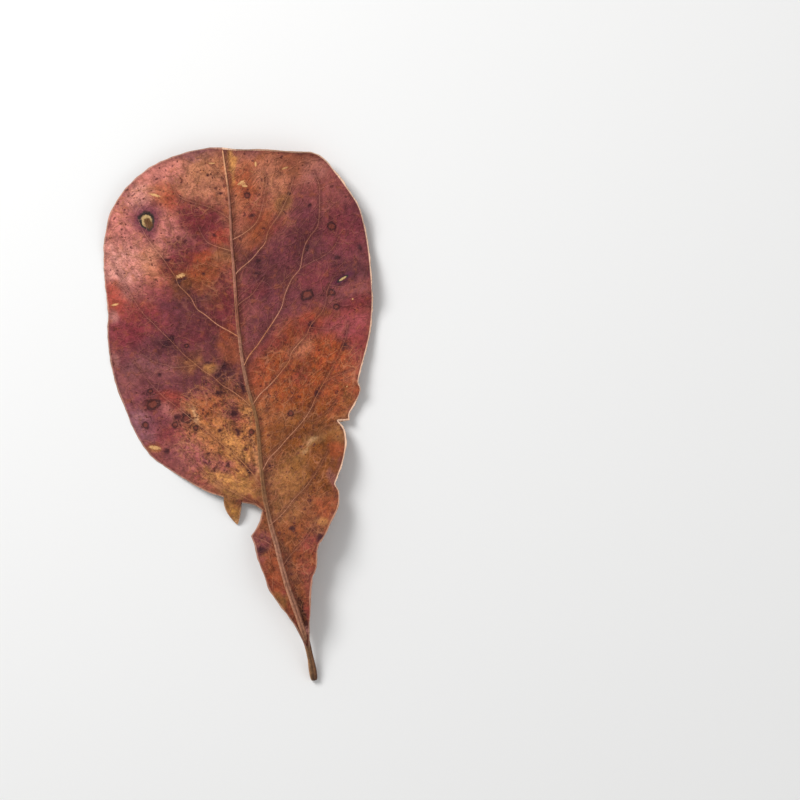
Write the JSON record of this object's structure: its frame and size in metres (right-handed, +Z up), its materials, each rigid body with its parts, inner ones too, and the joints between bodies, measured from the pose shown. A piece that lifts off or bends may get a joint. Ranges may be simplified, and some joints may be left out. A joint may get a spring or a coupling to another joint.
{
  "type": "dried autumn leaf",
  "caption": "Shed, dried broad leaf lying flat, with a long oval blade, raised midrib, wavy curled edges, a torn notch beside the base and a short stalk.",
  "frame": {"origin": "centre of the leaf's outline as seen from above, on the surface that the leaf lies on", "axes": "+Y along the leaf from the stalk to the broad tip, +X to the right seen from above with the tip away, +Z up out of the upper face"},
  "size_m": [0.1018, 0.2012, 0.0121],
  "materials": {
    "dry_leaf": "matt, leathery, mottled dusty pink, burgundy, rust and ochre"
  },
  "bodies": {
    "root": {"leaf": "dry_leaf"}
  },
  "joints": []
}
